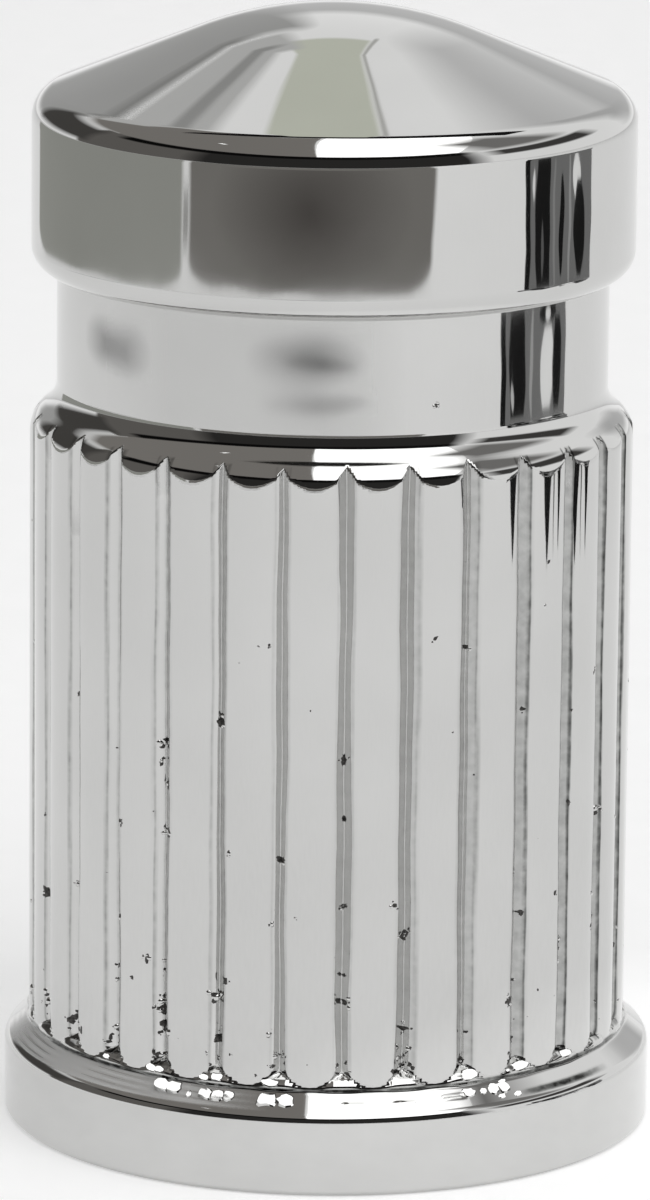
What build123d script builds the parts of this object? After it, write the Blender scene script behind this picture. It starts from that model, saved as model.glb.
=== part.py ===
from build123d import *
import os
from math import cos, radians, sin, tan

# Long tyre valve cap: a plated, moulded body with a reeded grip, and the rubber ring that seals it on the stem.
# Millimetres and degrees. The axis of the cap is Z, the open end lies on Z = 0 and the front is -Y.

# Reeded barrel, measured over the crests of the reeds
barrel_diameter = 11.1
barrel_height = 13.15
reed_count = 30
reed_crown_radius = 1.6
groove_depth = 0.19
groove_angle = 90.0
first_groove_angle = 3.0

# Flange round the open end, which stands out from the barrel
flange_overhang = 0.45
flange_wall_height = 1.47
flange_slope = 39.0
flange_upper_radius = 0.25
flange_lower_chamfer = 0.1

# Shoulder, which steps in from the barrel to the plain neck
shoulder_width = 0.49
shoulder_slope = 40.0
shoulder_radius = 0.59
shoulder_clearance = 0.005
neck_height = 2.345
neck_foot_radius = 0.59

# Head with its blunt cone, which stands out from the neck
head_overhang = 0.47
head_wall_height = 3.18
head_lower_radius = 0.5
head_upper_radius = 0.6
cone_slope = 22.0
tip_radius = 7.0

# Inside: a wide skirt, the thread of the valve stem and the seat of the ring
skirt_bore_diameter = 9.0
skirt_depth = 8.0
mouth_chamfer = 0.3
valve_thread_diameter = 7.7
thread_clearance = 0.1
thread_length = 6.8
seat_undercut = 0.3

# Rubber ring, held behind the thread
seal_thickness = 1.2
seal_hole_diameter = 4.0
seal_clearance = 0.05

# Radii and heights that follow from the sizes above
crest_radius = barrel_diameter / 2
groove_radius = crest_radius - groove_depth
flange_radius = crest_radius + flange_overhang
neck_radius = crest_radius - shoulder_width
head_radius = neck_radius + head_overhang
skirt_radius = skirt_bore_diameter / 2
thread_radius = (valve_thread_diameter + thread_clearance) / 2
seat_radius = thread_radius + seat_undercut

neck_foot = barrel_height + shoulder_width * tan(radians(shoulder_slope))
head_bottom = neck_foot + neck_height
head_rim = head_bottom + head_wall_height
thread_top = skirt_depth + thread_length
bore_end = thread_top + seal_thickness

# The crown of a reed is an arc that touches the crest circle, and a V groove runs down between two reeds
front_angle = -90.0
groove_start = front_angle + first_groove_angle
crown_start = groove_start + 180 / reed_count
groove_half_width = groove_depth * tan(radians(groove_angle / 2))

# The tip is a ball that the cone runs into without an edge
tip_edge_radius = tip_radius * sin(radians(cone_slope))
tip_edge = head_rim + (head_radius - tip_edge_radius) * tan(radians(cone_slope))
cap_height = tip_edge + tip_radius * (1 - cos(radians(cone_slope)))

os.makedirs("parts", exist_ok=True)

# One groove between two reeds, drawn on the X axis
with BuildSketch() as groove:
    with BuildLine():
        Polyline(
            (groove_radius, 0),
            (crest_radius, groove_half_width),
            (crest_radius, -groove_half_width),
            close=True,
        )
    make_face()

# Body of the cap
with BuildPart() as cap_body:

    # Reeded barrel, drawn as a star of crowned reeds with the grooves cut out, and run up to the head
    with BuildSketch(Plane.XY.offset(flange_wall_height)):
        Circle(groove_radius)
        with PolarLocations(crest_radius - reed_crown_radius, reed_count, start_angle=crown_start):
            Circle(reed_crown_radius)
        with PolarLocations(0, reed_count, start_angle=groove_start):
            add(groove.sketch, mode=Mode.SUBTRACT)
    extrude(amount=head_bottom - flange_wall_height)

    # Shoulder and neck, turned from the reeded bar, so that each reed ends in its own scallop
    with BuildSketch(Plane.XZ) as turned_outline:
        trim_radius = crest_radius + shoulder_clearance
        trim_height = barrel_height - shoulder_clearance * tan(radians(shoulder_slope))
        with BuildLine():
            Polyline(
                (0, flange_wall_height),
                (trim_radius, flange_wall_height),
                (trim_radius, trim_height),
                (neck_radius, neck_foot),
                (neck_radius, head_bottom),
                (0, head_bottom),
                close=True,
            )
        make_face()
        shoulder_edge = turned_outline.vertices().group_by(Axis.X)[-1].sort_by(Axis.Y)[-1]
        fillet(shoulder_edge, radius=shoulder_radius)
        neck_corner = turned_outline.vertices().sort_by_distance((neck_radius, neck_foot))[0]
        fillet(neck_corner, radius=neck_foot_radius)
    revolve(axis=Axis.Z, mode=Mode.INTERSECT)

    # Flange, whose sloped top runs in under the reeds
    with BuildSketch(Plane.XZ) as flange_outline:
        flange_top = flange_wall_height + (flange_radius - neck_radius) * tan(radians(flange_slope))
        with BuildLine():
            Polyline(
                (0, 0),
                (flange_radius, 0),
                (flange_radius, flange_wall_height),
                (neck_radius, flange_top),
                (0, flange_top),
                close=True,
            )
        make_face()
        flange_corners = flange_outline.vertices().group_by(Axis.X)[-1].sort_by(Axis.Y)
        chamfer(flange_corners[0], length=flange_lower_chamfer)
        upper_corner = flange_outline.vertices().sort_by_distance((flange_radius, flange_wall_height))[0]
        fillet(upper_corner, radius=flange_upper_radius)
    revolve(axis=Axis.Z)

    # Head with its rounded edges and blunt cone
    with BuildSketch(Plane.XZ) as head_outline:
        with BuildLine():
            walls = Polyline(
                (0, cap_height),
                (0, head_bottom),
                (head_radius, head_bottom),
                (head_radius, head_rim),
                (tip_edge_radius, tip_edge),
            )
            TangentArc(walls @ 1, walls @ 0, tangent=walls % 1)
        make_face()
        head_corners = head_outline.vertices().group_by(Axis.X)[-1].sort_by(Axis.Y)
        fillet(head_corners[0], radius=head_lower_radius)
        upper_edge = head_outline.vertices().sort_by_distance((head_radius, head_rim))[0]
        fillet(upper_edge, radius=head_upper_radius)
    revolve(axis=Axis.Z)

    # Blind bore: mouth, skirt, lead-in to the thread, thread wall and the seat behind it
    with BuildSketch(Plane.XZ):
        with BuildLine():
            Polyline(
                (0, 0),
                (skirt_radius + mouth_chamfer, 0),
                (skirt_radius, mouth_chamfer),
                (skirt_radius, skirt_depth - (skirt_radius - thread_radius)),
                (thread_radius, skirt_depth),
                (thread_radius, thread_top),
                (seat_radius, thread_top),
                (seat_radius, bore_end),
                (0, bore_end),
                close=True,
            )
        make_face()
    revolve(axis=Axis.Z, mode=Mode.SUBTRACT)

cap_body.part.label = "cap_body"
export_step(cap_body.part, "parts/cap_body.step")

# Seal washer, seated on the blind end of the bore
with BuildPart() as seal_washer:
    with BuildSketch(Plane.XY.offset(thread_top)):
        Circle(seat_radius - seal_clearance)
        Circle(seal_hole_diameter / 2, mode=Mode.SUBTRACT)
    extrude(amount=seal_thickness)

seal_washer.part.label = "seal_washer"
export_step(seal_washer.part, "parts/seal_washer.step")
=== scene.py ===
from math import cos, pi, radians, sin, sqrt, tan

import bpy
import numpy as np
from mathutils import Matrix, Vector


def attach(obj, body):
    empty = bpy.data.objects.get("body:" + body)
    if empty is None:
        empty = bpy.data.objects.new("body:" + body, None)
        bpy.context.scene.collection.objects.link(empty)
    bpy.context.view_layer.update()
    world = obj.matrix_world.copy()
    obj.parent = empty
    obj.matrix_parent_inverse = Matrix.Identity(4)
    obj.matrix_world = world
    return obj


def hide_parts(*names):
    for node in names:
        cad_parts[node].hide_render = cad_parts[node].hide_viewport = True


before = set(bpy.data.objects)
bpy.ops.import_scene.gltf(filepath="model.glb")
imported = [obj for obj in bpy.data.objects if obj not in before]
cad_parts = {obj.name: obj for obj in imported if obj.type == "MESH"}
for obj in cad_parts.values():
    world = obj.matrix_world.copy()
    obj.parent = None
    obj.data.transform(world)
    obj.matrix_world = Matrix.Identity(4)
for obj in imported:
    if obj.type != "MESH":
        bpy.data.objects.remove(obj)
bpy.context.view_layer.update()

MM = 0.001


# Sizes of the solid, in millimetres and degrees, repeated from the part's source
REEDS = 30
PITCH = 2 * pi / REEDS
CREST_R, CROWN_R, GROOVE_R = 5.55, 1.6, 5.36
FRONT = radians(-90.0)
FIRST_GROOVE = FRONT + radians(3.0)
FLANGE_R, FLANGE_WALL, FLANGE_SLOPE, FLANGE_ROUND, FLANGE_CHAMFER = 6.0, 1.47, radians(39.0), 0.25, 0.1
TRIM_R, TRIM_Z, SHOULDER_SLOPE, SHOULDER_ROUND = 5.555, 13.1458, radians(40.0), 0.59
NECK_R, NECK_FOOT, NECK_ROUND = 5.06, 13.5612, 0.59
HEAD_R, HEAD_BOTTOM, HEAD_RIM, HEAD_LOW_ROUND, HEAD_TOP_ROUND = 5.53, 15.9062, 19.0862, 0.5, 0.6
CONE, TIP_R = radians(22.0), 7.0
SKIRT_R, SKIRT_DEPTH, MOUTH = 4.5, 8.0, 0.3
THREAD_R, THREAD_TOP, SEAT_R, BORE_END = 3.9, 14.8, 4.2, 16.0

# Fine forms that the solid leaves out
THREAD_PITCH, THREAD_CREST_R = 0.794, 3.43
COLLAR_R, COLLAR_TOP, COLLAR_LEAN = 5.556, 1.91, radians(42.0)
GROOVE_FLARE, FLARE_RISE = 0.12, 0.17
BEAD_Z, BEAD_HEIGHT, BEAD_REACH, BEAD_RISE = 2.0, 0.085, 0.33, 0.12
LINE_Z, LINE_RISE = 1.69, 0.026

# Marks on the plating: reach of the groove stain and its painted shade, painted shade in the crevice over the
# flange, streak and wear on its slope
SHADE_AND_STAIN_MID, SHADE_AND_STAIN_HALF = 7.65, 5.65
CREVICE_Z, CREVICE_RISE = 1.868, 0.042
STREAK_Z, STREAK_RISE = 1.6, 0.04
WEAR_TOP = 1.83


# Shape of the body

def rounded(corners, step):
    """Section through (r, z, radius) corners, as rows of r, z and the outward normal."""
    points = [np.array(c[:2], float) for c in corners]
    rows = []
    for i, p in enumerate(points):
        if i in (0, len(points) - 1):
            t = points[1] - points[0] if i == 0 else points[-1] - points[-2]
            t = t / np.hypot(*t)
            rows.append((p[0], p[1], t[1], -t[0]))
            continue
        a, b = p - points[i - 1], points[i + 1] - p
        a, b = a / np.hypot(*a), b / np.hypot(*b)
        turn = np.arctan2(a[0] * b[1] - a[1] * b[0], a @ b)
        side, radius = np.sign(turn), corners[i][2]
        start = p - a * radius * tan(abs(turn) / 2)
        centre = start + side * radius * np.array((-a[1], a[0]))
        count = max(2, round(abs(np.degrees(turn)) / step))
        for k in range(count + 1):
            c, s = cos(turn * k / count), sin(turn * k / count)
            n = np.array((a[0] * s + a[1] * c, a[1] * s - a[0] * c))
            q = centre + side * radius * n
            rows.append((q[0], q[1], n[0], n[1]))
    return rows


def smooth_min(a, b, k):
    h = np.maximum(k - np.abs(a - b), 0) / k
    return np.minimum(a, b) - h * h * k / 4


def smooth_max(a, b, k):
    return -smooth_min(-a, -b, k)


def from_groove(phi):
    """Signed angle from the nearest groove."""
    return (phi - FIRST_GROOVE + PITCH / 2) % PITCH - PITCH / 2


def from_front(phi):
    """Angle from the front in degrees, positive to the right."""
    return np.degrees((phi - FRONT + pi) % (2 * pi) - pi)


def groove_number(phi):
    """Number of the nearest groove, counted both ways from the front."""
    return (np.floor((phi - FIRST_GROOVE) / PITCH + 0.5) + REEDS / 2) % REEDS - REEDS / 2


def groove_sway(phi, z):
    """Angle by which the line of the nearest groove wanders on its way up."""
    k = groove_number(phi)
    return (0.009 * np.sin(1.3 * z + 2.3 * k) + 0.006 * np.sin(3.1 * z + 4.1 * k)) / CREST_R


def groove_bottom(phi, z):
    """Radius at the bottom of the nearest groove, as no two grooves are equally deep."""
    k = groove_number(phi)
    return GROOVE_R + 0.024 * np.sin(1.1 * k + 3.2) + 0.012 * np.sin(0.8 * z + 2.7 * k)


def reed_radius(phi, z):
    """Radius over the crowned reeds and the V grooves, which open out a little at the foot."""
    off = from_groove(phi)
    axis = CREST_R - CROWN_R
    turn = PITCH / 2 - np.abs(off)
    crown = axis * np.cos(turn) + np.sqrt(CROWN_R**2 - (axis * np.sin(turn)) ** 2)
    flare = GROOVE_FLARE / CREST_R * np.exp(-(((z - COLLAR_TOP) / FLARE_RISE) ** 2))
    in_wall = np.maximum(np.abs(off - groove_sway(phi, z)) - flare, 0)
    wall = groove_bottom(phi, z) / (np.cos(in_wall) - np.sqrt(np.sin(in_wall) ** 2 + 0.0008**2) + 0.0008)
    return smooth_min(crown, wall, 0.018)


def groove_stain_and_shade(phi, z):
    """Darkening in the grooves, most on the walls that face left: some dirt, and painted shade where the walls
    mirror each other. Above 1 it darkens further, with painted shade in the crevice over the flange and a dark
    streak low on its slope.
    """
    side = (from_groove(phi) - groove_sway(phi, z)) * CREST_R
    edge = 0.8 * (CREST_R - groove_bottom(phi, z))
    wall = np.clip((side - 0.005) / 0.03, 0, 1) * np.clip((edge + 0.02 - side) / 0.03, 0, 1)
    lines = np.exp(-(((np.abs(side) - edge) / 0.02) ** 2))
    bottom = np.exp(-((side / 0.03) ** 2))
    # Painted shade where the groove walls mirror each other: more towards the sides, and on the edge lines at the
    # right
    side_shade = 0.3 + 0.7 * np.clip((np.abs(np.sin(phi - FRONT)) - 0.15) / 0.5, 0, 1)
    right = np.clip((np.sin(phi - FRONT) - 0.55) / 0.3, 0, 1)
    groove = np.clip(0.5 * wall + 0.75 * lines + 0.5 * bottom, 0, 1) + 0.9 * right * lines
    groove = groove * side_shade * (np.abs(z - SHADE_AND_STAIN_MID) < SHADE_AND_STAIN_HALF)
    uneven = 0.8 + 0.25 * np.sin(7 * (phi - FRONT) + 1.5) + 0.15 * np.sin(23 * (phi - FRONT))
    # Painted shade in the crevice over the flange
    crevice = uneven * np.exp(-(((z - CREVICE_Z) / CREVICE_RISE) ** 4))
    az = from_front(phi)
    along = np.clip((az - 37) / 5, 0, 1) * np.clip((62 - az) / 10, 0, 1)
    streak = along * np.exp(-(((z - STREAK_Z) / STREAK_RISE) ** 4))
    return groove + 2.1 * crevice + 2.0 * streak


def slope_wear(phi, z):
    """Dull streaks along the slope of the flange, at its left."""
    az = from_front(phi)
    left = np.clip(-(az + 10) / 16, 0, 1) * np.clip((az + 95) / 25, 0, 1)
    streaks = 0.68 + 0.32 * np.sin(75 * z + 0.08 * az) * np.sin(0.13 * az + 1)
    return left * (z < WEAR_TOP) * streaks


def turned_radius(z):
    """Radius of the turned outline: barrel, S-shaped shoulder and neck."""
    turn = pi / 2 - SHOULDER_SLOPE
    low = TRIM_Z - SHOULDER_ROUND * tan(turn / 2)
    high = NECK_FOOT + NECK_ROUND * tan(turn / 2)
    rise = np.clip(z - low, 0, SHOULDER_ROUND)
    fall = np.clip(high - z, 0, NECK_ROUND)
    convex = TRIM_R - SHOULDER_ROUND + np.sqrt(SHOULDER_ROUND**2 - rise**2)
    concave = NECK_R + NECK_ROUND - np.sqrt(NECK_ROUND**2 - fall**2)
    cone = TRIM_R - (z - TRIM_Z) / tan(SHOULDER_SLOPE)
    r = np.where(z < low + SHOULDER_ROUND * sin(turn), convex, cone)
    return np.where(z > high - NECK_ROUND * sin(turn), concave, r)


def foot_radius(phi, z):
    """Sloped top of the flange with its broken scratch, and the low collar with a bead that closes each groove."""
    off = from_groove(phi) * CREST_R
    az = from_front(phi)
    broken = np.clip(1.6 * np.cos(2 * pi * (az - 5) / 9.4) + 0.2, 0, 1) * (np.abs(az - 13) < 15)
    line = -1.0 * broken * (z - LINE_Z) * np.exp(-(((z - LINE_Z) / LINE_RISE) ** 2))
    slope = FLANGE_R - (z - FLANGE_WALL) / tan(FLANGE_SLOPE) + line
    collar = smooth_min(COLLAR_R + 0 * z, COLLAR_R - (z - COLLAR_TOP) * tan(COLLAR_LEAN), 0.03)
    bead = BEAD_HEIGHT * np.exp(-((off / BEAD_REACH) ** 4) - ((z - BEAD_Z) / BEAD_RISE) ** 2)
    return smooth_max(slope, collar + bead, 0.045)


def barrel_radius(phi, z):
    """Reeds cut by the turned shoulder, standing on the flange."""
    body = smooth_min(reed_radius(phi, z), turned_radius(z), 0.012)
    return smooth_max(body, foot_radius(phi, z), 0.012)


def barrel_normal(phi, z):
    e = 1e-5
    r = barrel_radius(phi, z)
    slope_z = (barrel_radius(phi, z + e) - barrel_radius(phi, z - e)) / (2 * e)
    side = (barrel_radius(phi + e, z) - barrel_radius(phi - e, z)) / (2 * e * r)
    c, s = np.cos(phi), np.sin(phi)
    n = np.stack([c + side * s, s - side * c, -slope_z], -1)
    return n / np.linalg.norm(n, axis=-1, keepdims=True)


def section():
    """Rows of the section, from the blind end of the bore round the flange and up to the tip."""
    inside = rounded([
        (0.0, BORE_END, 0),
        (SEAT_R, BORE_END, 0.06),
        (SEAT_R, THREAD_TOP, 0.06),
        (THREAD_R, THREAD_TOP, 0.06),
        (THREAD_R, SKIRT_DEPTH, 0.1),
        (SKIRT_R, SKIRT_DEPTH - (SKIRT_R - THREAD_R), 0.1),
        (SKIRT_R, MOUTH, 0.06),
        (SKIRT_R + MOUTH, 0.0, 0.06),
        (FLANGE_R - FLANGE_CHAMFER, 0.0, 0.08),
        (FLANGE_R, FLANGE_CHAMFER, 0.08),
        (FLANGE_R, FLANGE_WALL, FLANGE_ROUND),
        (FLANGE_R - 0.3, FLANGE_WALL + 0.3 * tan(FLANGE_SLOPE), 0),
    ], 16.0)[1:-1]
    reach = FLANGE_ROUND * tan((pi / 2 - FLANGE_SLOPE) / 2)
    slope_start = FLANGE_WALL + reach * sin(FLANGE_SLOPE)
    neck_end = NECK_FOOT + NECK_ROUND * tan((pi / 2 - SHOULDER_SLOPE) / 2)
    # Rows lie closest where the slope, the beads and the shoulder bend
    field = np.concatenate([
        np.linspace(slope_start + 0.02, 1.80, 13),
        np.linspace(1.815, 1.96, 13),
        np.linspace(1.985, 2.30, 12),
        np.linspace(2.4, 12.7, 19),
        np.linspace(12.8, neck_end, 29),
    ])
    rim = (TIP_R * sin(CONE), HEAD_RIM + (HEAD_R - TIP_R * sin(CONE)) * tan(CONE))
    outside = rounded([
        (NECK_R, HEAD_BOTTOM - 0.4, 0),
        (NECK_R, HEAD_BOTTOM, 0.01),
        (HEAD_R, HEAD_BOTTOM, HEAD_LOW_ROUND - 0.045),
        (HEAD_R, HEAD_RIM, HEAD_TOP_ROUND),
        rim + (0,),
    ], 7.5)
    centre = rim[1] - TIP_R * cos(CONE)
    for k in range(1, 9):
        a = CONE * (1 - k / 8)
        outside.append((TIP_R * sin(a), centre + TIP_R * cos(a), sin(a), cos(a)))
    return inside, field, outside


class Builder:
    """Gathers the points, normals, stains with painted shade, wear and faces of one mesh."""

    def __init__(self):
        self.points, self.normals, self.stains, self.wears = [], [], [], []
        self.faces, self.slots = [], []
        self.count = 0

    def row(self, points, normals, stain=None, wear=None):
        start = self.count
        self.points.append(np.asarray(points, float))
        self.normals.append(np.asarray(normals, float))
        self.stains.append(np.zeros(len(points)) if stain is None else stain)
        self.wears.append(np.zeros(len(points)) if wear is None else wear)
        self.count += len(points)
        return list(range(start, self.count))

    def face(self, *corners, slot=0):
        self.faces.append(corners)
        self.slots.append(slot)

    def bridge(self, a, b):
        """Joins two closed rings, of equal count or one with twice the columns of the other."""
        if len(a) == len(b):
            for j in range(len(a)):
                k = (j + 1) % len(a)
                self.face(a[j], a[k], b[k], b[j])
        elif len(a) > len(b):
            for k in range(len(b)):
                l, m, n = a[2 * k], a[2 * k + 1], a[(2 * k + 2) % len(a)]
                p, q = b[k], b[(k + 1) % len(b)]
                self.face(l, m, p)
                self.face(m, q, p)
                self.face(m, n, q)
        else:
            for k in range(len(a)):
                p, q = a[k], a[(k + 1) % len(a)]
                l, m, n = b[2 * k], b[2 * k + 1], b[(2 * k + 2) % len(b)]
                self.face(p, q, m)
                self.face(p, m, l)
                self.face(q, n, m)

    def mesh(self, name):
        mesh = bpy.data.meshes.new(name)
        mesh.from_pydata((np.concatenate(self.points) * MM).tolist(), [], self.faces)
        mesh.polygons.foreach_set("use_smooth", [True] * len(self.faces))
        mesh.polygons.foreach_set("material_index", self.slots)
        mesh.update()
        mesh.normals_split_custom_set_from_vertices(np.concatenate(self.normals).tolist())
        for layer, values in (("stain", self.stains), ("wear", self.wears)):
            mesh.attributes.new(layer, "FLOAT", "POINT").data.foreach_set("value", np.concatenate(values))
        return mesh


def add_body(builder):
    """Bore, flange, barrel, neck and head, with columns that lie closest in the grooves."""
    half = np.radians([0.12, 0.5, 0.95, 1.35, 1.6, 1.9, 2.6, 3.6, 4.8])
    one = np.concatenate([-half[::-1], [0.0], half, [PITCH / 2]])
    fine = np.concatenate([FIRST_GROOVE + k * PITCH + one for k in range(REEDS)])
    coarse = fine[::2]
    inside, field, outside = section()

    def turned(r, z, nr, nz):
        c, s = np.cos(coarse), np.sin(coarse)
        flat = np.ones_like(coarse)
        return builder.row(np.stack([r * c, r * s, z * flat], 1), np.stack([nr * c, nr * s, nz * flat], 1))

    rings = [turned(*row) for row in inside]
    for z in field:
        level = np.full_like(fine, z)
        near = 1 - (from_groove(fine) / (PITCH / 2)) ** 2
        phi = fine + groove_sway(fine, level) * near
        r = barrel_radius(phi, level)
        points = np.stack([r * np.cos(phi), r * np.sin(phi), level], 1)
        marks = groove_stain_and_shade(phi, level), slope_wear(phi, level)
        rings.append(builder.row(points, barrel_normal(phi, level), *marks))
    rings += [turned(*row) for row in outside[:-1]]
    for a, b in zip(rings, rings[1:]):
        builder.bridge(a, b)
    bottom = builder.row([(0, 0, BORE_END)], [(0, 0, -1)])[0]
    tip = builder.row([(0, 0, outside[-1][1])], [(0, 0, 1)])[0]
    first, last = rings[0], rings[-1]
    for j in range(len(first)):
        k = (j + 1) % len(first)
        builder.face(bottom, first[k], first[j])
        builder.face(last[j], last[k], tip)


def add_thread(builder):
    """Right-handed ridge of the valve thread, swept round the bore and run out at both ends."""
    steps, turns = 56, (THREAD_TOP - SKIRT_DEPTH - 1.1) / THREAD_PITCH
    t = np.arange(int(steps * turns) + 1) / steps
    c, s = np.cos(2 * pi * t), np.sin(2 * pi * t)
    run_out = np.clip(np.minimum(t, turns - t) / 0.4, 0.02, 1)
    root = THREAD_R + 0.03
    lines = []
    for lift, height, up in [(-0.36, 0, -0.8), (-0.09, 1, -0.55), (0.09, 1, 0.55), (0.36, 0, 0.8)]:
        r = root - (root - THREAD_CREST_R) * height * run_out
        z = SKIRT_DEPTH + 0.55 + t * THREAD_PITCH + lift
        out = -sqrt(1 - up * up)
        lines.append(builder.row(np.stack([r * c, r * s, z], 1), np.stack([out * c, out * s, up + 0 * t], 1)))
    for a, b in zip(lines, lines[1:]):
        for i in range(len(a) - 1):
            builder.face(a[i + 1], a[i], b[i], b[i + 1])


def mark_radius(phi, z):
    """Radius under a blemish, on the barrel or on the plain neck."""
    return np.where(z > NECK_FOOT + NECK_ROUND, NECK_R, barrel_radius(phi, z))


def mark_normal(phi, z):
    """Normal under a blemish."""
    plain = np.stack([np.cos(phi), np.sin(phi), np.zeros_like(phi)], -1)
    return np.where((z > NECK_FOOT + NECK_ROUND)[:, None], plain, barrel_normal(phi, z))


# Blemishes of the plating: azimuth from the front, height and radius of those that stand out
MARKS = [
    (21.4, 14.33, 0.045), (19.9, 10.19, 0.06), (27.1, 9.94, 0.06), (45.0, 11.32, 0.05), (2.9, 7.97, 0.07),
    (-31.8, 6.38, 0.08), (-43.1, 6.46, 0.06), (-8.6, 6.12, 0.075), (-19.4, 3.81, 0.08), (3.5, 3.50, 0.075),
    (14.6, 4.71, 0.07), (50.5, 4.07, 0.075), (48.4, 5.09, 0.05), (38.2, 5.70, 0.05), (39.9, 4.88, 0.06),
    (37.2, 3.27, 0.08), (-33.2, 3.09, 0.09), (-43.0, 4.70, 0.06), (-55.8, 5.48, 0.06), (-58.6, 2.39, 0.08),
    (3.2, 6.90, 0.05), (12.8, 5.30, 0.06), (61.0, 4.23, 0.06), (-32.4, 2.70, 0.09), (15.4, 2.95, 0.07),
]


def add_blemishes(builder):
    """Dark pits and small bright nodules, which lie along the grooves and thicken towards the flange."""
    rng = np.random.RandomState(23)
    corners = 8
    spots = []

    def cluster(phi, z, size, dark):
        spots.append((phi, z, 0.85 * size, int(rng.rand() < dark)))
        for _ in range(rng.poisson(size / 0.03)):
            away, turn = size * (0.6 + 0.8 * rng.rand()), 2 * pi * rng.rand()
            part = size * (0.3 + 0.4 * rng.rand())
            spots.append((phi + away * cos(turn) / CREST_R, z + away * sin(turn), part, int(rng.rand() < 0.6)))

    for az, z, size in MARKS:
        cluster(FRONT + radians(az), z, 1.15 * size, 1.0)
    for groove in range(REEDS):
        for _ in range(rng.poisson(10)):
            z = 2.2 + 7.0 * rng.rand() ** 3
            phi = FIRST_GROOVE + groove * PITCH + rng.normal(0, 0.13) / CREST_R
            cluster(phi, z, 0.019 + 0.075 * rng.rand() ** 2, 0.6)
        for _ in range(rng.poisson(2.0)):
            z = 2.1 + 9.5 * rng.rand() ** 1.8
            phi = FIRST_GROOVE + (groove + rng.rand()) * PITCH
            cluster(phi, z, 0.014 + 0.036 * rng.rand() ** 2, 0.75)
    for phi, z, size, slot in spots:
        around = np.arange(corners) / corners * 2 * pi + rng.rand()
        reach = size * (0.55 + 0.9 * rng.rand(corners))
        stretch = 0.7 + 0.9 * rng.rand()
        height = size * (0.12 if slot else 0.6)
        rings = []
        for share, lift, lean in [(1.0, -0.004, 0.8), (0.55, 0.7 * height, 0.45)]:
            p = phi + share * reach * np.cos(around) / CREST_R
            q = z + share * reach * np.sin(around) * stretch
            n = mark_normal(p, q)
            r = mark_radius(p, q)
            base = np.stack([r * np.cos(p), r * np.sin(p), q], 1)
            side = base - base.mean(0)
            side = side / np.linalg.norm(side, axis=1, keepdims=True)
            tilt = n * sqrt(1 - lean**2) + side * lean * (0.3 if slot else 1.0)
            rings.append(builder.row(base + n * lift, tilt / np.linalg.norm(tilt, axis=1, keepdims=True)))
        n = mark_normal(np.array([phi]), np.array([z]))
        r = mark_radius(np.array([phi]), np.array([z]))
        top = np.stack([r * np.cos(phi), r * np.sin(phi), [z]], 1) + n * height
        peak = builder.row(top, n)[0]
        a, b = rings
        for j in range(len(a)):
            k = (j + 1) % len(a)
            builder.face(a[j], a[k], b[k], b[j], slot=slot)
            builder.face(b[j], b[k], peak, slot=slot)


# Lumps of plating, by the way their flat tops face: azimuth, height, half length and half rise
LUMPS = [
    ((6.0, 53.0), [
        (-31.2, 1.73, 0.13, 0.085), (-28.7, 1.73, 0.13, 0.08), (-25.4, 1.68, 0.05, 0.04), (-22.2, 1.71, 0.11, 0.065),
        (-20.0, 1.71, 0.11, 0.07), (-17.9, 1.71, 0.10, 0.06), (-10.5, 1.71, 0.17, 0.085), (-7.2, 1.71, 0.16, 0.08),
    ]),
    ((16.0, 54.0), [
        (27.1, 1.72, 0.12, 0.055), (30.0, 1.716, 0.06, 0.035), (32.2, 1.72, 0.10, 0.07), (34.4, 1.73, 0.10, 0.075),
        (33.3, 1.605, 0.06, 0.03), (36.7, 1.60, 0.07, 0.03), (34.8, 1.80, 0.07, 0.025),
    ]),
    ((5.0, 43.0), [
        (-34.3, 1.985, 0.08, 0.055), (-32.6, 1.98, 0.08, 0.05), (-23.0, 1.97, 0.08, 0.045),
        (-20.6, 1.995, 0.09, 0.06), (-45.5, 1.99, 0.05, 0.035), (-10.4, 1.98, 0.17, 0.055),
    ]),
    ((18.0, 43.0), [(27.8, 2.0, 0.16, 0.075), (39.4, 2.0, 0.14, 0.07), (51.4, 2.0, 0.11, 0.06)]),
]


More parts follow.
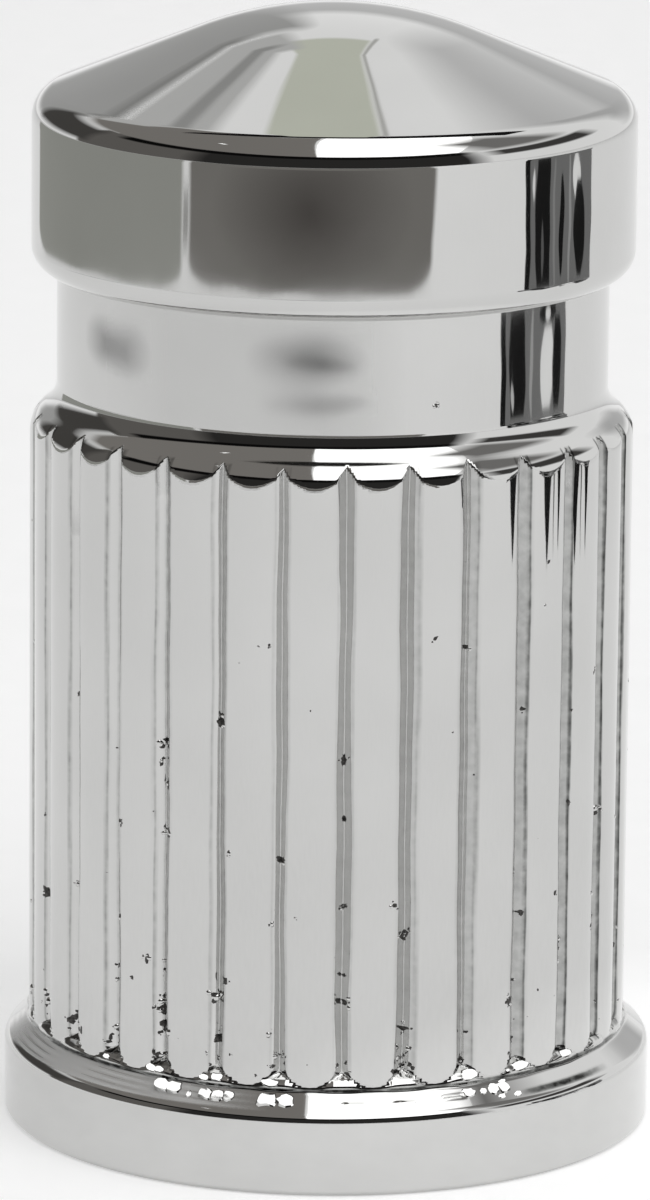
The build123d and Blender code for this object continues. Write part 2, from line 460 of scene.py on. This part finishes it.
def add_lumps(builder):
    """Small lumps of plating over the flange, with flat tops, and edges painted dark as shade on their side towards
    the upper right.
    """
    rng = np.random.RandomState(5)
    corners = 12
    around = np.arange(corners) / corners * 2 * pi
    c, s = np.cos(around), np.sin(around)

    def on_barrel(phi, z, share=0.0, across=0.0, up=0.0):
        p, q = np.atleast_1d(phi + share * across), np.atleast_1d(z + share * up)
        r = barrel_radius(p, q)
        return np.stack([r * np.cos(p), r * np.sin(p), q], 1), barrel_normal(p, q)

    for (turn, tilt), places in LUMPS:
        turn, tilt = radians(turn), radians(tilt)
        facing = np.array([cos(tilt) * sin(turn), -cos(tilt) * cos(turn), sin(tilt)])
        for az, z, length, rise in places:
            phi = FRONT + radians(az)
            wobble = 1 + 0.45 * (rng.rand(corners) - 0.5)
            across = np.sign(c) * np.abs(c) ** 0.7 * wobble * length / CREST_R
            up = np.sign(s) * np.abs(s) ** 0.7 * wobble * rise
            (centre,), (out,) = on_barrel(phi, z)
            foot, n = on_barrel(phi, z, 1.12, across, up)
            under, _ = on_barrel(phi, z, 0.9, across, up)
            lift = (centre - under) @ facing / (out @ facing)
            height = 0.006 - min(lift.min(), 0.0)
            top = under + np.outer(lift + height, out)
            side = np.cross(np.roll(foot, -1, 0) - np.roll(foot, 1, 0), top - foot)
            side = side / np.linalg.norm(side, axis=1, keepdims=True)
            flat = np.tile(facing, (corners, 1))
            a, b = builder.row(foot - 0.004 * n, side), builder.row(top, side)
            d = builder.row(top, flat)
            peak = builder.row([centre + height * out], [facing])[0]
            for j in range(corners):
                k = (j + 1) % corners
                # The edge faces towards the upper right take the dark pit material, a painted shade
                builder.face(a[j], a[k], b[k], b[j], slot=int(c[j] + s[j] > 0.3))
                builder.face(d[j], d[k], peak)


# Materials

def new_material(name):
    mat = bpy.data.materials.new(name)
    mat.use_nodes = True
    mat.node_tree.nodes.clear()
    return mat, mat.node_tree


def node(tree, kind, **values):
    n = tree.nodes.new(kind)
    for key, value in values.items():
        if key in n.inputs:
            n.inputs[key].default_value = value
        else:
            setattr(n, key, value)
    return n


def maths(tree, op, a, b=None, clamp=False):
    n = tree.nodes.new("ShaderNodeMath")
    n.operation = op
    n.use_clamp = clamp
    for socket, value in zip(n.inputs, (a, b)):
        if isinstance(value, (int, float)):
            socket.default_value = value
        elif value is not None:
            tree.links.new(value, socket)
    return n.outputs[0]


def ramp(tree, factor, low, high, start=0.3, end=0.7):
    n = tree.nodes.new("ShaderNodeValToRGB")
    for element, position, colour in zip(n.color_ramp.elements, (start, end), (low, high)):
        element.position = position
        element.color = (*colour, 1)
    tree.links.new(factor, n.inputs[0])
    return n.outputs[0]


def noise(tree, scale, detail):
    n = node(tree, "ShaderNodeTexNoise", Scale=scale, Detail=detail)
    tree.links.new(node(tree, "ShaderNodeTexCoord").outputs["Object"], n.inputs["Vector"])
    return n.outputs["Fac"]


def bump(tree, height, distance):
    n = node(tree, "ShaderNodeBump", Strength=1.0, Distance=distance)
    tree.links.new(height, n.inputs["Height"])
    return n.outputs[0]


def finish(tree, shader):
    tree.links.new(shader.outputs[0], node(tree, "ShaderNodeOutputMaterial").inputs[0])


def chrome():
    """Bright plating with a faint haze, stains and dirt mixed with painted shade in the grooves and the crevice over
    the flange, a dark streak and worn streaks, over the slow waves of the moulding.
    """
    mat, tree = new_material("chrome_plating")
    haze = noise(tree, 420.0, 3.0)
    shader = node(tree, "ShaderNodeBsdfPrincipled")
    bright = ramp(tree, haze, (0.595, 0.595, 0.587), (0.625, 0.625, 0.617))
    stain = node(tree, "ShaderNodeAttribute", attribute_name="stain").outputs["Fac"]
    uneven = maths(tree, "ADD", maths(tree, "MULTIPLY", noise(tree, 5200.0, 4.0), 1.5), 0.15)
    marked = maths(tree, "MULTIPLY", stain, uneven)
    # Stains and dirt, with painted shade in the grooves, darken the plating towards this grey
    dull_and_shaded = node(tree, "ShaderNodeMix", data_type="RGBA", clamp_factor=True)
    tree.links.new(marked, dull_and_shaded.inputs["Factor"])
    tree.links.new(bright, dull_and_shaded.inputs[6])
    dull_and_shaded.inputs[7].default_value = (0.215, 0.218, 0.212, 1)
    # Above 1 the marks darken to near black: painted shade in the crevice over the flange, and the dark streak on
    # its slope
    crevice_shade_and_streak = node(tree, "ShaderNodeMix", data_type="RGBA", clamp_factor=True)
    tree.links.new(maths(tree, "SUBTRACT", marked, 1.0, clamp=True), crevice_shade_and_streak.inputs["Factor"])
    tree.links.new(dull_and_shaded.outputs[2], crevice_shade_and_streak.inputs[6])
    crevice_shade_and_streak.inputs[7].default_value = (0.02, 0.02, 0.019, 1)
    tree.links.new(crevice_shade_and_streak.outputs[2], shader.inputs["Base Color"])
    wear = node(tree, "ShaderNodeAttribute", attribute_name="wear").outputs["Fac"]
    rough = maths(tree, "ADD", maths(tree, "MULTIPLY", haze, 0.07), maths(tree, "MULTIPLY", wear, 0.5))
    tree.links.new(rough, shader.inputs["Roughness"])
    film = maths(tree, "SUBTRACT", 1.0, maths(tree, "MULTIPLY", wear, 0.85), clamp=True)
    tree.links.new(film, shader.inputs["Metallic"])
    tree.links.new(bump(tree, noise(tree, 500.0, 1.0), 0.0000022), shader.inputs["Normal"])
    finish(tree, shader)
    return mat


def pits_and_edge_shade():
    """Dark bottoms of the pits, also the painted shade on one side of the lumps' edges."""
    mat, tree = new_material("plating_pits_and_edge_shade")
    grain = noise(tree, 22000.0, 3.0)
    shader = node(tree, "ShaderNodeBsdfPrincipled", Metallic=0.6)
    tree.links.new(ramp(tree, grain, (0.015, 0.015, 0.014), (0.11, 0.105, 0.10)), shader.inputs["Base Color"])
    tree.links.new(maths(tree, "ADD", maths(tree, "MULTIPLY", grain, 0.3), 0.25), shader.inputs["Roughness"])
    tree.links.new(bump(tree, grain, 0.00001), shader.inputs["Normal"])
    finish(tree, shader)
    return mat


def rubber():
    """Matt black rubber with a fine grain."""
    mat, tree = new_material("seal_rubber")
    grain = noise(tree, 4000.0, 4.0)
    shader = node(tree, "ShaderNodeBsdfPrincipled")
    tree.links.new(ramp(tree, grain, (0.02, 0.02, 0.02), (0.045, 0.044, 0.042)), shader.inputs["Base Color"])
    tree.links.new(maths(tree, "ADD", maths(tree, "MULTIPLY", grain, 0.2), 0.55), shader.inputs["Roughness"])
    tree.links.new(bump(tree, grain, 0.000015), shader.inputs["Normal"])
    finish(tree, shader)
    return mat


def seen_ray(tree):
    """1 for rays that show the background: from the camera, off metal and through glass."""
    path = node(tree, "ShaderNodeLightPath")
    shown = maths(tree, "MAXIMUM", path.outputs["Is Camera Ray"], path.outputs["Is Glossy Ray"])
    return maths(tree, "MAXIMUM", shown, path.outputs["Is Transmission Ray"])


def glow(name, colour, strength=1.0, corner=None, feather=1.0):
    """Emission of a card; corner gives the share of its half width and height that is rounded off and faded."""
    mat, tree = new_material(name)
    light = node(tree, "ShaderNodeEmission", Strength=strength)
    light.inputs[0].default_value = (*colour, 1)
    if corner is None:
        finish(tree, light)
        return mat
    split = node(tree, "ShaderNodeSeparateXYZ")
    tree.links.new(node(tree, "ShaderNodeTexCoord").outputs["UV"], split.inputs[0])
    squares = []
    for axis, share in zip(split.outputs, corner):
        out = maths(tree, "MULTIPLY", maths(tree, "ABSOLUTE", maths(tree, "SUBTRACT", axis, 0.5)), 2.0)
        past = maths(tree, "DIVIDE", maths(tree, "SUBTRACT", out, 1.0 - share), share, clamp=True)
        squares.append(maths(tree, "MULTIPLY", past, past))
    edge = maths(tree, "SQRT", maths(tree, "ADD", *squares))
    cover = maths(tree, "DIVIDE", maths(tree, "SUBTRACT", 1.0, edge), feather, clamp=True)
    mix = node(tree, "ShaderNodeMixShader")
    tree.links.new(cover, mix.inputs[0])
    tree.links.new(node(tree, "ShaderNodeBsdfTransparent").outputs[0], mix.inputs[1])
    tree.links.new(light.outputs[0], mix.inputs[2])
    finish(tree, mix)
    return mat


def floor_material():
    """Pale matt floor, lifted for the rays that show it, with a painted pool of light near the part."""
    mat, tree = new_material("pale_floor")
    matt = node(tree, "ShaderNodeBsdfDiffuse")
    tree.links.new(ramp(tree, noise(tree, 900.0, 3.0), (0.79, 0.79, 0.79), (0.82, 0.82, 0.82)), matt.inputs[0])
    # A painted pool of light: the floor is lifted more within about 13.5 mm of a point just beside the part
    away = node(tree, "ShaderNodeVectorMath", operation="DISTANCE")
    pool_edge, pool_fade = 0.0135, 0.0045
    away.inputs[1].default_value = (0.003, -0.002, 0.0)
    tree.links.new(node(tree, "ShaderNodeTexCoord").outputs["Object"], away.inputs[0])
    inside = maths(tree, "SUBTRACT", pool_edge, away.outputs["Value"])
    pool = maths(tree, "DIVIDE", inside, pool_fade, clamp=True)
    level = maths(tree, "ADD", maths(tree, "MULTIPLY", pool, 0.11), 0.27)
    lift = node(tree, "ShaderNodeEmission")
    tree.links.new(maths(tree, "MULTIPLY", seen_ray(tree), level), lift.inputs["Strength"])
    both = node(tree, "ShaderNodeAddShader")
    tree.links.new(matt.outputs[0], both.inputs[0])
    tree.links.new(lift.outputs[0], both.inputs[1])
    finish(tree, both)
    return mat


# Pieces

builder = Builder()
add_body(builder)
add_thread(builder)
add_blemishes(builder)
add_lumps(builder)
body = bpy.data.objects.new("cap_body_plated", builder.mesh("cap_body_plated"))
bpy.context.collection.objects.link(body)
body.data.materials.append(chrome())
body.data.materials.append(pits_and_edge_shade())
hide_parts("cap_body")
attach(body, "root")

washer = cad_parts["seal_washer"]
washer.data.materials.clear()
washer.data.materials.append(rubber())


# Floor, softbox and the cards that the plating mirrors

def stage_mesh(name, points, faces, mat, uv=None):
    mesh = bpy.data.meshes.new(name)
    mesh.from_pydata([tuple(x * MM for x in p) for p in points], [], faces)
    mesh.materials.append(mat)
    if uv is not None:
        layer = mesh.uv_layers.new(name="place")
        for loop in mesh.loops:
            layer.data[loop.index].uv = uv[loop.vertex_index]
    o = bpy.data.objects.new(name, mesh)
    bpy.context.collection.objects.link(o)
    return o


def only_mirrored(o):
    o.visible_camera = False
    o.visible_diffuse = False
    o.visible_shadow = False
    return o


def patch(name, place, mat):
    """A curved card whose points place(u, v) gives for u and v from 0 to 1, seen in the plating only."""
    n, m = 24, 48
    uv = [(i / n, j / m) for j in range(m + 1) for i in range(n + 1)]
    faces = [(j * (n + 1) + i, j * (n + 1) + i + 1, (j + 1) * (n + 1) + i + 1, (j + 1) * (n + 1) + i)
             for j in range(m) for i in range(n)]
    return only_mirrored(stage_mesh(name, [place(u, v) for u, v in uv], faces, mat, uv))


def bearing(azimuth, distance, z):
    """A point at an azimuth from the front, positive to the right."""
    a = radians(azimuth)
    return (distance * sin(a), -distance * cos(a), z)


def between(a, b, t):
    return a + (b - a) * t


def floor_card(name, az, reach, colour, corner, feather, z=0.15, wander=0.0):
    """A card on the floor; wander is the angle by which its right edge strays."""
    def place(u, v):
        d = between(*reach, v)
        return bearing(between(*az, u) + wander * u * u * sin(0.05 * d * d**0.5), d, z)
    patch(name, place, glow(name, colour, 1.0, corner, feather))


def sky_card(name, az, el, distance, colour, corner, feather=1.0):
    """A card that stands round the part, by azimuth and elevation."""
    def place(u, v):
        e = radians(between(*el, v))
        return bearing(between(*az, u), distance * cos(e), 10 + distance * sin(e))
    patch(name, place, glow(name, colour, 1.0, corner, feather))


def ceiling_card(name, corners, mat, drop=0.0):
    """A flat card overhead, with corners given as shares of the ceiling's height."""
    points = [(x * CEILING, y * CEILING, CEILING - drop) for x, y in corners]
    return stage_mesh(name, points, [list(range(len(corners)))], mat)


CEILING, FLOOR = 400.0, 900.0
UPRIGHT_DISTANCE = 54.5
PANEL_GREY = (0.24, 0.227, 0.213)
stage_mesh(
    "floor",
    [(-FLOOR, -FLOOR, 0), (FLOOR, -FLOOR, 0), (FLOOR, FLOOR, 0), (-FLOOR, FLOOR, 0)],
    [(0, 1, 2, 3)],
    floor_material(),
)

softbox = ceiling_card(
    "softbox",
    [(-0.17, -1.37), (1.24, -1.06), (0.55, 0.02), (0.38, 0.36), (-0.02, 0.36)],
    glow("softbox", (1.0, 1.0, 1.0), 2.1),
)
softbox.visible_camera = False
softbox.visible_shadow = False
only_mirrored(ceiling_card(
    "panel_left",
    [(-0.18, -1.4), (-0.03, 0.36), (-1.7, 0.36), (-1.7, -1.4)],
    glow("panel_left", PANEL_GREY),
))
only_mirrored(ceiling_card(
    "lamp_left",
    [(-0.55, -0.27), (-0.52, -0.27), (-0.52, -0.2), (-0.55, -0.2)],
    glow("lamp_left", (1.0, 1.0, 1.0), 1.6),
    drop=1,
))
only_mirrored(ceiling_card(
    "bar_behind",
    [(-0.9, 0.37), (0.56, 0.37), (0.56, 0.62), (-0.9, 0.62)],
    glow("bar_behind", (0.01, 0.01, 0.01)),
))

floor_card("flag_left", (-148, -56.8), (88.5, 430), (0.345, 0.35, 0.325), (0.28, 0.026), 0.12)
floor_card("flag_front", (-55.4, 37.6), (89.8, 430), (0.215, 0.207, 0.195), (0.28, 0.026), 0.12, wander=1.2)
floor_card("flag_front_spot", (-46, 30), (88, 118), (0.075, 0.068, 0.064), (1.0, 1.0), 1.0, z=0.2)
floor_card("neck_haze", (-105, 30), (67, 88), (0.82, 0.82, 0.82), (0.5, 0.3), 1.0, z=0.08)
floor_card("smudge_left", (-122, -78), (74.0, 82.0), (0.44, 0.44, 0.44), (0.7, 0.8), 1.0)
floor_card("smudge_front", (-36, 16), (75.5, 84.5), (0.32, 0.32, 0.32), (1.0, 1.0), 1.0)
floor_card("smudge_streak", (-22, 12), (77.8, 80.2), (0.14, 0.14, 0.14), (1.0, 1.0), 1.0, z=0.2)
floor_card("flag_gap", (-57.2, -55.0), (94.5, 107.5), (0.38, 0.38, 0.37), (0.3, 0.6), 0.8, z=0.1)
floor_card("smudge_near", (-32, 18), (72.4, 75.4), (0.30, 0.30, 0.30), (1.0, 1.0), 1.0)

sky_card("wall_front", (-60, 62), (-1.5, 36.5), 420, (0.03, 0.029, 0.028), (0.35, 0.1), 0.5)
sky_card("wall_front_left", (-114, -30), (-1.5, 36.5), 424, (0.14, 0.133, 0.125), (0.1, 0.1), 0.6)
sky_card("wall_front_rim", (-100, 58), (27, 37.5), 410, (0.004, 0.004, 0.004), (0.1, 0.6), 0.8)
sky_card("wall_left", (-153, -104), (1, 35), 415, (0.07, 0.067, 0.063), (0.25, 0.4), 1.0)
sky_card("wall_left_high", (-162, -92), (33, 80), 455, PANEL_GREY, (0.15, 0.2), 1.0)
sky_card("wall_right", (60, 126), (17, 33), 427, (0.06, 0.058, 0.056), (0.3, 0.4), 1.0)
sky_card("panel_right", (58, 122), (32, 66), 430, (0.22, 0.215, 0.21), (0.5, 0.4), 1.0)
sky_card("back_left", (-178, -142), (4, 38), 440, (0.42, 0.42, 0.415), (0.2, 0.3), 1.0)
sky_card("back_left_smudge", (-170, -150), (31.5, 37), 432, (0.30, 0.30, 0.295), (0.5, 0.9), 1.0)
sky_card("back_left_high", (-174, -142), (36.5, 50), 441, (0.58, 0.58, 0.575), (0.2, 0.25), 1.0)
sky_card("back_left_spot", (-171, -158), (43.3, 47), 431, (0.36, 0.36, 0.355), (1.0, 1.0), 0.6)
sky_card("back_panel", (172.8, 190.2), (43, 62), 442, (0.66, 0.68, 0.59), (0.12, 0.15), 1.0)
sky_card("back_line", (171.9, 173.2), (41, 60), 433, (0.55, 0.55, 0.53), (0.9, 0.2), 0.8)
sky_card("back_right", (140, 172), (6, 50), 443, (0.52, 0.52, 0.52), (0.8, 0.6), 1.0)
sky_card("back_low", (140, 220), (2, 24), 446, (0.58, 0.58, 0.58), (0.4, 0.5), 1.0)

# Uprights at the right: azimuths, heights, grey, and how far they taper to their ends.
# Those that start below 1 mm are wedges, which widen upwards.
STRIPES = [
    (73.8, 109.2, 6.4, 12.5, 0.20, 0.0), (73.6, 75.8, 6.4, 12.5, 0.012, 0.0), (77.0, 78.3, 8.9, 9.7, 0.9, 0.9),
    (78.3, 85.6, 6.7, 9.95, 0.014, 0.15), (81.3, 82.6, 6.9, 8.4, 0.13, 0.9), (90.2, 92.8, 6.9, 9.4, 0.012, 0.7),
    (95.2, 96.6, 6.6, 9.9, 0.36, 0.5), (97.6, 102.4, 8.7, 9.9, 0.95, 0.8), (98.2, 105.2, 6.8, 9.2, 0.014, 0.7),
    (87.0, 88.2, 6.6, 9.9, 0.29, 0.5), (75.6, 82.0, 6.4, 6.62, 0.012, 0.6), (88.0, 101.0, 6.4, 6.62, 0.012, 0.6),
    (70.9, 108.4, 3.2, 6.4, 0.21, 0.0), (70.7, 73.2, 3.2, 6.3, 0.012, 0.0), (75.0, 83.7, 3.55, 6.1, 0.014, 0.2),
    (75.9, 77.6, 3.7, 4.5, 0.6, 0.9), (86.2, 88.0, 3.5, 6.1, 0.42, 0.6), (92.2, 100.6, 3.65, 5.6, 0.95, 0.5),
    (99.6, 105.4, 3.6, 5.8, 0.014, 0.5), (91.5, 102.0, 5.72, 6.2, 0.014, 0.5), (95.0, 98.4, 5.75, 6.1, 0.95, 0.8),
    (75.5, 91.5, 0.2, 3.2, 0.014, 0.0), (91.5, 95.0, 0.2, 3.2, 0.20, 0.0), (99.0, 108.8, 0.2, 3.2, 0.012, 0.0),
]


def upright_card(k, low, high, foot, top, grey, taper):
    def place(u, v):
        share = 1 - taper * (2 * v - 1) ** 2 if foot > 1 else 0.1 + 0.9 * v
        half = (high - low) / 2 * share
        z = between(foot, top, v)
        sway = 0.3 * sin(1.7 * z + k) + 0.15 * sin(4.1 * z + 2 * k)
        return bearing((low + high) / 2 + (2 * u - 1) * half + sway, UPRIGHT_DISTANCE - 0.05 * k, z)
    patch(f"stripe_{k}", place, glow(f"stripe_{k}", (grey, grey, grey)))


for k, stripe in enumerate(STRIPES):
    upright_card(k, *stripe)


# World: white for what shows the background, softer as light

world = bpy.data.worlds.new("studio")
bpy.context.scene.world = world
world.use_nodes = True
tree = world.node_tree
tree.nodes.clear()
shown = node(tree, "ShaderNodeBackground", Strength=1.0)
shown.inputs[0].default_value = (1, 1, 1, 1)
fill = node(tree, "ShaderNodeBackground", Strength=0.5)
fill.inputs[0].default_value = (1, 1, 1, 1)
mix = node(tree, "ShaderNodeMixShader")
tree.links.new(seen_ray(tree), mix.inputs[0])
tree.links.new(fill.outputs[0], mix.inputs[1])
tree.links.new(shown.outputs[0], mix.inputs[2])
tree.links.new(mix.outputs[0], node(tree, "ShaderNodeOutputWorld").inputs[0])


# Camera, from the fit to the photograph's outline, whose size is 650 x 1200

PHOTO_HEIGHT, EYE_MM = 1200, (0, -150.0, 44.316)
YAW, PITCH_DOWN, ROLL, FOCAL_PX = 0.00064, -0.22701, 0.0095, 8340.2
camera = bpy.data.cameras.new("camera")
camera.sensor_width = 36.0
camera.lens = FOCAL_PX * camera.sensor_width / PHOTO_HEIGHT
camera.clip_start, camera.clip_end = 0.001, 10.0
eye = bpy.data.objects.new("camera", camera)
bpy.context.collection.objects.link(eye)
bpy.context.scene.camera = eye
base = Matrix.Rotation(YAW, 3, "Z") @ Matrix.Rotation(PITCH_DOWN, 3, "X")
right, ahead, up = base @ Vector((1, 0, 0)), base @ Vector((0, 1, 0)), base @ Vector((0, 0, 1))
right, up = cos(ROLL) * right + sin(ROLL) * up, cos(ROLL) * up - sin(ROLL) * right
facing = Matrix((right, up, -ahead)).transposed()
eye.matrix_world = Matrix.Translation(Vector(EYE_MM) * MM) @ facing.to_4x4()

bpy.context.scene.view_settings.view_transform = "Standard"
